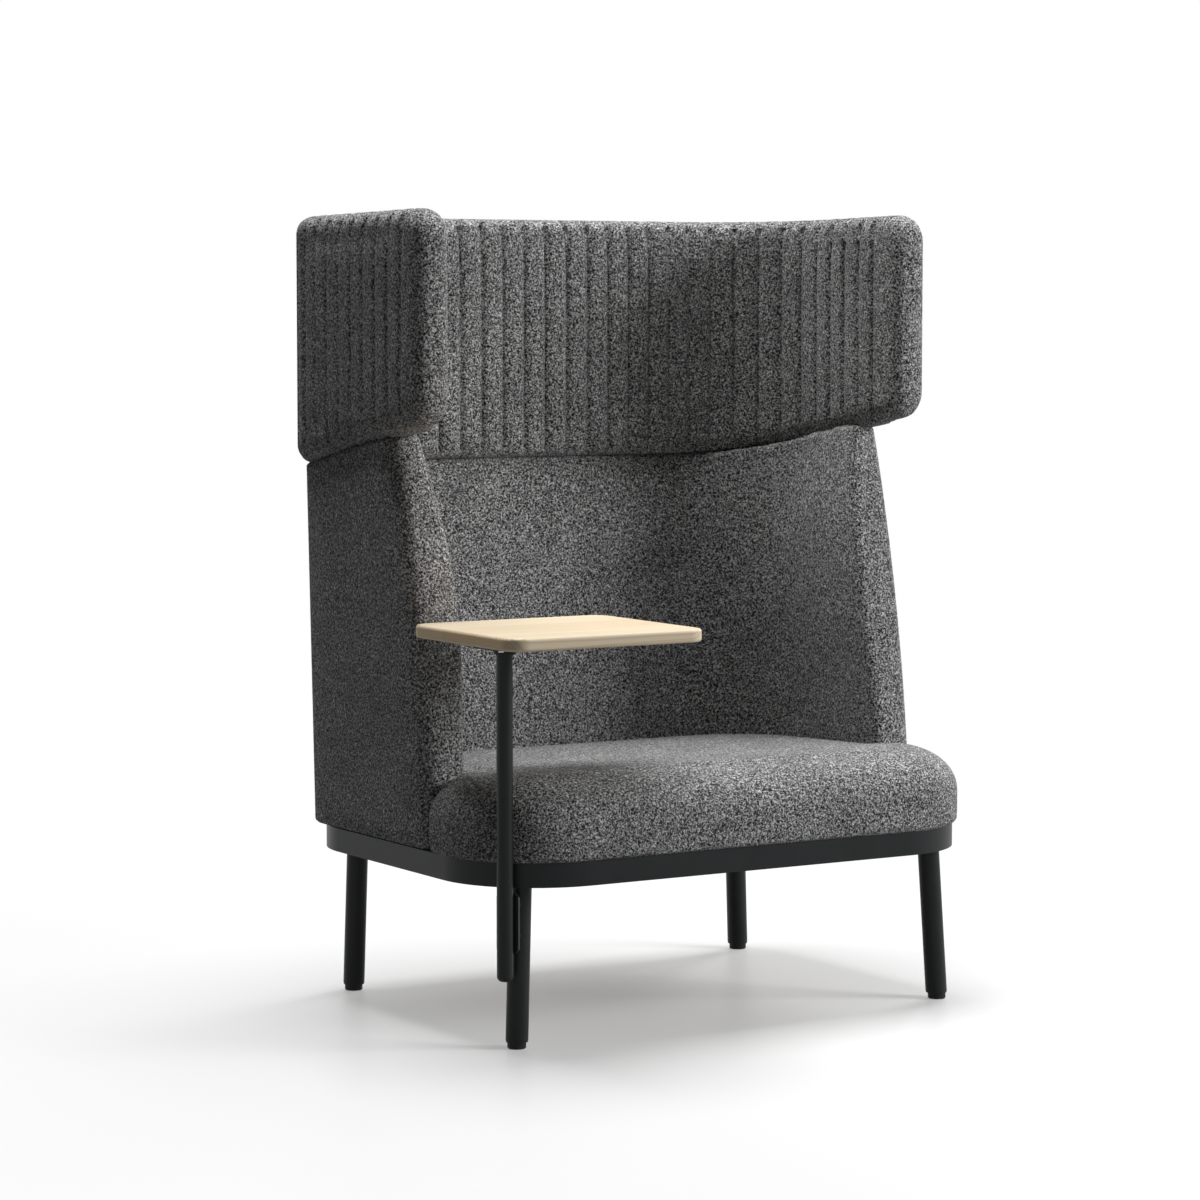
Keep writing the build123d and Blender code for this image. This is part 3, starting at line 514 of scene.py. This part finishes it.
def fold_over(piece, node):
    """Lay the cloth over the edges of the board that reach the pad's surface."""
    form = bmesh.new()
    form.from_mesh(frame["nodes"][node].data)
    board = BVHTree.FromBMesh(form)
    form.free()
    folded = 0
    for point, normal in points_and_normals(piece):
        surface, facing, _, away = board.find_nearest(point.co)
        cover = (point.co - surface).dot(facing)
        if cover < fold and away < fold_zone and facing.dot(normal) > 0.0:
            point.co += normal * (fold - cover)
            folded += 1
    print(piece.name, "points folded over", node, folded)


print("fold over the boards", fold * 1000, "mm")

# %% [markdown]
# The three pads go through the same steps, with their own swell and their own resting places. When
# a pad is done, it is covered in the cloth, rides on the chair's body and stands for its CAD piece.

# %% Stuff and upholster
def stuff(piece, swell, rests):
    """Make a copied pad soft: skin, swollen cloth and full edges."""
    solid, held = skin(piece, rests)
    blow_up(piece, swell, held)
    fill_edges(piece, solid)


def upholster(piece, fill, *nodes):
    """Cover a pad in cloth and let it stand for its CAD pieces."""
    piece.data.materials.clear()
    piece.data.materials.append(boucle)
    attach(piece, "chair")
    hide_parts(*nodes)
    print(piece.name, "faces", len(piece.data.polygons))


soft_swell, firm_swell = 0.007, 0.005
soft_fill, firm_fill = 0.8, 0.9
print("swell", soft_swell * 1000, "mm soft,", firm_swell * 1000, "mm firm")

# %% [markdown]
# The seat cushion rests on the deck and the band, so its underside is held. It is the softest pad,
# with the largest swell.

# %% Seat cushion
foot_height = 0.014
cushion = copy_of("seat_cushion", "seat_cover", "seat_foam")
cushion_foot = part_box("seat_cover")[0][2]


def cushion_rests(spot, facing):
    """True on the deck and the band."""
    return spot.z < cushion_foot + foot_height


stuff(cushion, soft_swell, cushion_rests)
upholster(cushion, soft_fill, "seat_cover")

# %% [markdown]
# The body pad is firm foam pulled tight over the bent board, so it swells only a little. It is held
# where it stands on the deck and along its top, which the head wrap presses on.

# %% Body pad
level_facing = 0.6
seam_margin = 0.02
seam_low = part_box("head_pad")[0][2]
body_pad = copy_of("body_pad", "back_pad", "back_board")
body_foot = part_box("back_pad")[0][2]


def body_rests(spot, facing):
    """True on the deck, and on the top under the head wrap."""
    under_wrap = facing.z > level_facing and spot.z > seam_low - seam_margin
    return spot.z < body_foot + foot_height or under_wrap


stuff(body_pad, firm_swell, body_rests)
fold_over(body_pad, "back_board")
upholster(body_pad, firm_fill, "back_pad")

# %% [markdown]
# The head wrap is a thick U with rolled edges that sits on the body pad, so its lower edge is held.
# Voxel skin and cloth come first, because both would wash out a groove narrower than a voxel.

# %% Head wrap, before sewing
wing_foot = 0.96
head_wrap = copy_of("head_wrap", "head_pad", "head_board")


def wrap_rests(spot, facing):
    """True on the lower edge."""
    return facing.z < -level_facing and spot.z < wing_foot


stuff(head_wrap, firm_swell, wrap_rests)

# %% [markdown]
# The head wrap is sewn into upright channels, inside and outside, all at one pitch. The rows of
# stitches are set out from the middle of the back along two U shapes, one for each face of the wrap,
# and mirrored. Each row is a place, the way out of the U there, the face it is on and a list for the
# mesh faces that it will draw in.

# %% Rows of stitches
head_low, head_high = (Vector(corner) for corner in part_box("head_pad"))
channel_pitch = 0.041
edge_roll = 0.028
wing_thickness = 0.065
back_thickness = 0.117
outer_corner = 0.141
inner_corner = 0.150
outer_u = (head_high.x, head_high.y, outer_corner)
inner_u = (head_high.x - wing_thickness, head_high.y - back_thickness, inner_corner)
outside, inside = 1, -1


def along_u(half, back, corner, distance):
    """Place on a U at a distance from the middle of its back, and the way out of it there."""
    straight = half - corner
    arc = corner * pi / 2
    if distance < straight:
        return Vector((distance, back, 0)), Vector((0, 1, 0))
    if distance < straight + arc:
        bearing = pi / 2 - (distance - straight) / corner
        out = Vector((cos(bearing), sin(bearing), 0))
        return Vector((straight, back - corner, 0)) + corner * out, out
    return Vector((half, back - corner - (distance - straight - arc), 0)), Vector((1, 0, 0))


rows = []
for (half, back, corner), facing in ((outer_u, outside), (inner_u, inside)):
    length = half - corner + corner * pi / 2 + back - corner - head_low.y - edge_roll
    for step in range(int(length / channel_pitch)):
        spot, out = along_u(half, back, corner, (step + 0.5) * channel_pitch)
        for side in (1, -1):
            mirror = Vector((side, 1, 1))
            rows.append((spot * mirror, out * mirror, facing, []))
print("rows of stitches", len(rows))

# %% [markdown]
# Each row pulls the cloth in along a plane square to the U. The mesh is cut along that plane and a few
# millimetres to each side of it, so that the crease is crisp. Then the points near the row are drawn
# in, deepest on the row itself, so that the cloth between two rows stands as a low pillow. The inside
# is thick foam and gives way more than the outside, which lies close to the board. Where the cloth
# rolls over the top edge the stitches pull less, and under the lower edge they end.

# %% Helpers for sewing
channel_half = 0.013
crease_half = 0.003
outer_depth = 0.0045
inner_depth = 0.008
cut_merge = 0.0001
top_pull = 0.35
under_edge = -0.2


def stitch_pull(normal, out):
    """Share of its depth that a row has: all on upright cloth, less on the top edge, none below."""
    upright = max(0.0, normal.dot(out))
    if normal.z > under_edge:
        return min(1.0, top_pull + upright)
    return max(0.0, 2.0 * upright - 1.0)


def sew_row(form, near, spot, out, facing):
    """Draw in one upright row of stitches through the near faces."""
    run = Vector((-out.y, out.x, 0))
    depth = outer_depth if facing == outside else inner_depth
    geom = list(dict.fromkeys(item for face in near for item in [face, *face.edges, *face.verts]))
    for offset in (-crease_half, crease_half, 0.0):
        middle = spot + run * offset
        cut = bmesh.ops.bisect_plane(form, geom=geom, dist=cut_merge, plane_co=middle, plane_no=run)
        geom = cut["geom"]
    form.normal_update()
    moves = []
    for item in geom:
        if isinstance(item, bmesh.types.BMVert):
            aside = abs((item.co - spot).dot(run)) / channel_half
            if aside < 1.0:
                pull = stitch_pull(item.normal, out * facing)
                moves.append((item, depth * (1.0 - aside) ** 2 * pull))
    for point, move in moves:
        point.co -= point.normal * move


print("channels", outer_depth * 1000, "mm deep outside,", inner_depth * 1000, "mm inside")

# %% [markdown]
# Every mesh face goes to the one row that it lies beside, on that row's side of the wrap. Then the
# rows are sewn one after another, the cloth is folded over the board's edge, and the wrap is done.

# %% Sew the head wrap
window = channel_pitch / 2
reach = 0.03
turned_away = -0.3

form = bmesh.new()
form.from_mesh(head_wrap.data)
for face in form.faces:
    centre, normal = face.calc_center_median(), face.normal
    for spot, out, facing, near in rows:
        gap_x, gap_y = centre.x - spot.x, centre.y - spot.y
        if abs(gap_y * out.x - gap_x * out.y) < window and abs(gap_x * out.x + gap_y * out.y) < reach:
            if normal.dot(out) * facing > turned_away:
                near.append(face)
                break
for spot, out, facing, near in rows:
    sew_row(form, near, spot, out, facing)
form.to_mesh(head_wrap.data)
form.free()
fold_over(head_wrap, "head_board")
head_wrap.data.shade_smooth()
upholster(head_wrap, firm_fill, "head_pad")

# %% [markdown]
# The studio is a pale floor that turns to plain white away from the seat, so that no horizon shows.
# Camera rays see the floor's white directly far out, and near the seat the floor is a plain matt
# surface that takes the soft shadow. Light that bounces off it meets a darker grey, so that the
# underside of the seat stays dark.

# %% Floor
floor_half = 14.0
white_from, white_to = -0.6, 2.4
seen_grey, bounced_grey = 0.84, 0.2

floor_form = bmesh.new()
bmesh.ops.create_grid(floor_form, x_segments=2, y_segments=2, size=floor_half)
floor_mesh = bpy.data.meshes.new("floor")
floor_form.to_mesh(floor_mesh)
floor_form.free()
floor = bpy.data.objects.new("floor", floor_mesh)
bpy.context.collection.objects.link(floor)

floor_finish, tree, shader = new_finish("pale_floor", 0.4, 0.12)
rays = add_node(tree, "ShaderNodeLightPath").outputs
grey_inputs = {"Value": rays["Is Diffuse Ray"], 3: seen_grey, 4: bounced_grey}
floor_grey = add_node(tree, "ShaderNodeMapRange", grey_inputs)
tree.links.new(floor_grey.outputs[0], shader.inputs["Base Color"])
far = add_node(tree, "ShaderNodeVectorMath", {0: own_place(tree)}, operation="LENGTH").outputs["Value"]
fade_inputs = {"Value": far, 1: white_from, 2: white_to}
fade = add_node(tree, "ShaderNodeMapRange", fade_inputs, interpolation_type="SMOOTHSTEP")
seen = reckon(tree, "MAXIMUM", rays["Is Camera Ray"], rays["Is Glossy Ray"])
glow = add_node(tree, "ShaderNodeEmission", {"Color": (1.0, 1.0, 1.0, 1.0), "Strength": 1.0})
whiteness = reckon(tree, "MULTIPLY", seen, fade.outputs[0])
blend = add_node(tree, "ShaderNodeMixShader", {0: whiteness, 1: shader.outputs[0], 2: glow.outputs[0]})
tree.links.new(blend.outputs[0], tree.nodes["Material Output"].inputs["Surface"])
floor.data.materials.append(floor_finish)
print("floor", 2 * floor_half, "m")

# %% [markdown]
# The light comes mainly from above and a little from behind, so the seat's top is bright and its
# front is darker. A broad lamp at the front right leaves the outside of the left wing dark and lets
# the right wing shade the corner beside it, and one at the right rear draws a thin light line on the
# right edges.

# %% Lamps
def soft_lamp(name, place, aim, size, level):
    """A square area lamp that looks at a point and lights it to a level, where 1 is plain white."""
    way = Vector(aim) - Vector(place)
    data = bpy.data.lights.new(name, "AREA")
    data.size = size
    data.energy = level * pi**2 * way.length_squared
    lamp = bpy.data.objects.new(name, data)
    lamp.location = place
    lamp.rotation_euler = way.to_track_quat("-Z", "Y").to_euler()
    bpy.context.collection.objects.link(lamp)


chair_middle = (0.0, 0.0, 0.7)
soft_lamp("key_right", (3.4, -3.0, 2.1), chair_middle, 1.8, 0.72)
soft_lamp("top", (0.0, 0.6, 4.2), chair_middle, 2.4, 1.55)
soft_lamp("rim_right", (3.6, 1.7, 2.1), chair_middle, 1.6, 0.45)
print("lamps", len(bpy.data.lights))

# %% [markdown]
# The world is plain white to the camera and in reflections. As a light it is nearly dark, because an
# even light from all sides would wash out the shadows that the lamps draw.

# %% White world
world_light, world_seen = 0.02, 1.0
world = bpy.data.worlds.new("studio")
world.use_nodes = True
bpy.context.scene.world = world
tree = world.node_tree
tree.nodes.clear()
rays = add_node(tree, "ShaderNodeLightPath").outputs
seen = reckon(tree, "MAXIMUM", rays["Is Camera Ray"], rays["Is Glossy Ray"])
seen = reckon(tree, "MAXIMUM", seen, rays["Is Transmission Ray"])
strength = add_node(tree, "ShaderNodeMapRange", {"Value": seen, 3: world_light, 4: world_seen})
backdrop_inputs = {"Color": (1.0, 1.0, 1.0, 1.0), "Strength": strength.outputs[0]}
backdrop = add_node(tree, "ShaderNodeBackground", backdrop_inputs)
add_node(tree, "ShaderNodeOutputWorld", {"Surface": backdrop.outputs[0]})
bpy.context.scene.view_settings.view_transform = "Standard"
print("world", world.name)
